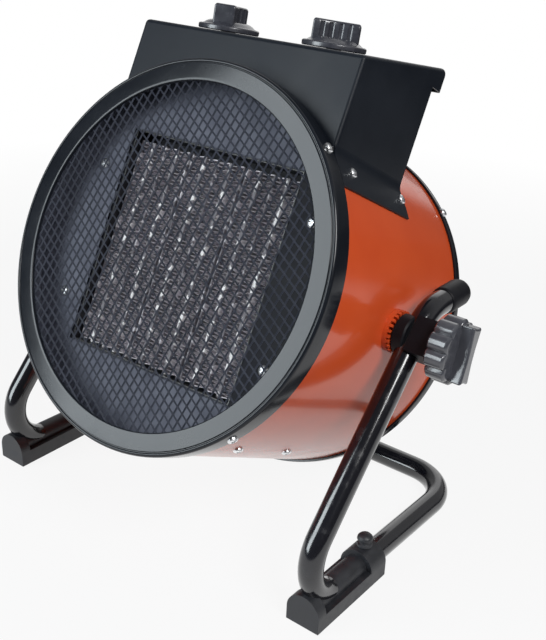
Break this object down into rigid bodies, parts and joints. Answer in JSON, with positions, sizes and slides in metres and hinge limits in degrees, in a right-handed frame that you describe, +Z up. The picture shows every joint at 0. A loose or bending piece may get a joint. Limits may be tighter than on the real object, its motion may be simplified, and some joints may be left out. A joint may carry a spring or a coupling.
{
  "type": "forced air heater",
  "caption": "Round fan heater: a steel barrel with a heating element behind a mesh grille, a control box with knobs on top and a bent tube stand in which it tilts.",
  "frame": {"origin": "on the ground, in the middle of the outline seen from above", "axes": "+Z up, the grille and the knobs face -Y, +X to the right seen from the front; X = 0 is the plane of symmetry and the tilt axis runs along X"},
  "size_m": [0.3576, 0.2726, 0.3392],
  "materials": {
    "orange_enamel": "gloss enamel",
    "black_powder_coat": "satin powder coat",
    "black_gloss_paint": "gloss paint",
    "black_plastic": "fine spark texture",
    "dark_rubber": "matt soft moulding",
    "dark_steel": "bare dark sheet",
    "grille_steel": "thin black paint",
    "fin_aluminium": "mill finish",
    "zinc": "bright zinc",
    "pale_plastic": "plain moulding"
  },
  "bodies": {
    "stand": {"stand_tube": "black_gloss_paint", "tube_cap_right": "dark_rubber", "tube_cap_left": "dark_rubber", "foot_right": "dark_rubber", "foot_left": "dark_rubber", "foot_peg_right": "dark_rubber", "foot_peg_left": "dark_rubber", "pivot_pad_right": "black_plastic", "pivot_pad_left": "black_plastic", "pivot_saddle_right": "black_plastic", "pivot_saddle_left": "black_plastic"},
    "heater": {"body_shell": "orange_enamel", "front_ring": "black_powder_coat", "rear_ring": "black_powder_coat", "front_grille": "grille_steel", "rear_grille": "grille_steel", "baffle_plate": "dark_steel", "element_frame": "black_plastic", "element_module_1": "fin_aluminium", "element_module_2": "fin_aluminium", "element_module_3": "fin_aluminium", "thermal_cutout": "zinc", "motor_bracket": "zinc", "fan_motor": "dark_steel", "control_box_cover": "black_powder_coat", "control_box_back": "black_powder_coat", "cable_gland": "black_plastic", "terminal_block": "pale_plastic", "thermostat_switch": "pale_plastic", "selector_switch": "pale_plastic", "tooth_disc_right": "orange_enamel", "tooth_disc_left": "orange_enamel", "clamp_bolt_right": "zinc", "clamp_bolt_left": "zinc"},
    "fan": {"motor_shaft": "zinc", "fan_wheel": "fin_aluminium"},
    "thermostat_dial": {"thermostat_spindle": "zinc", "thermostat_knob": "black_plastic"},
    "selector_dial": {"selector_spindle": "zinc", "selector_knob": "black_plastic"},
    "clamp_right": {"clamp_knob_right": "black_plastic"},
    "clamp_left": {"clamp_knob_left": "black_plastic"}
  },
  "joints": [
    {"name": "tilt", "type": "hinge", "parent": "stand", "child": "heater", "pos_m": [0, 0.00178, 0.16], "axis": [1, 0, 0], "range_deg": [-63, 27]},
    {"name": "fan_spin", "type": "hinge", "parent": "heater", "child": "fan", "pos_m": [0, 0.00178, 0.16], "axis": [0, 0.891, -0.454], "continuous": true},
    {"name": "thermostat_turn", "type": "hinge", "parent": "heater", "child": "thermostat_dial", "pos_m": [-0.0436, 0.03331, 0.31879], "axis": [0, -0.2053, -0.9787], "range_deg": [0, 270]},
    {"name": "selector_turn", "type": "hinge", "parent": "heater", "child": "selector_dial", "pos_m": [0.0436, 0.03331, 0.31879], "axis": [0, -0.2053, -0.9787], "range_deg": [0, 135]},
    {"name": "clamp_right_turn", "type": "hinge", "parent": "heater", "child": "clamp_right", "pos_m": [0, 0.00178, 0.16], "axis": [1, 0, 0], "range_deg": [0, 360]},
    {"name": "clamp_left_turn", "type": "hinge", "parent": "heater", "child": "clamp_left", "pos_m": [0, 0.00178, 0.16], "axis": [-1, 0, 0], "range_deg": [0, 360]}
  ]
}
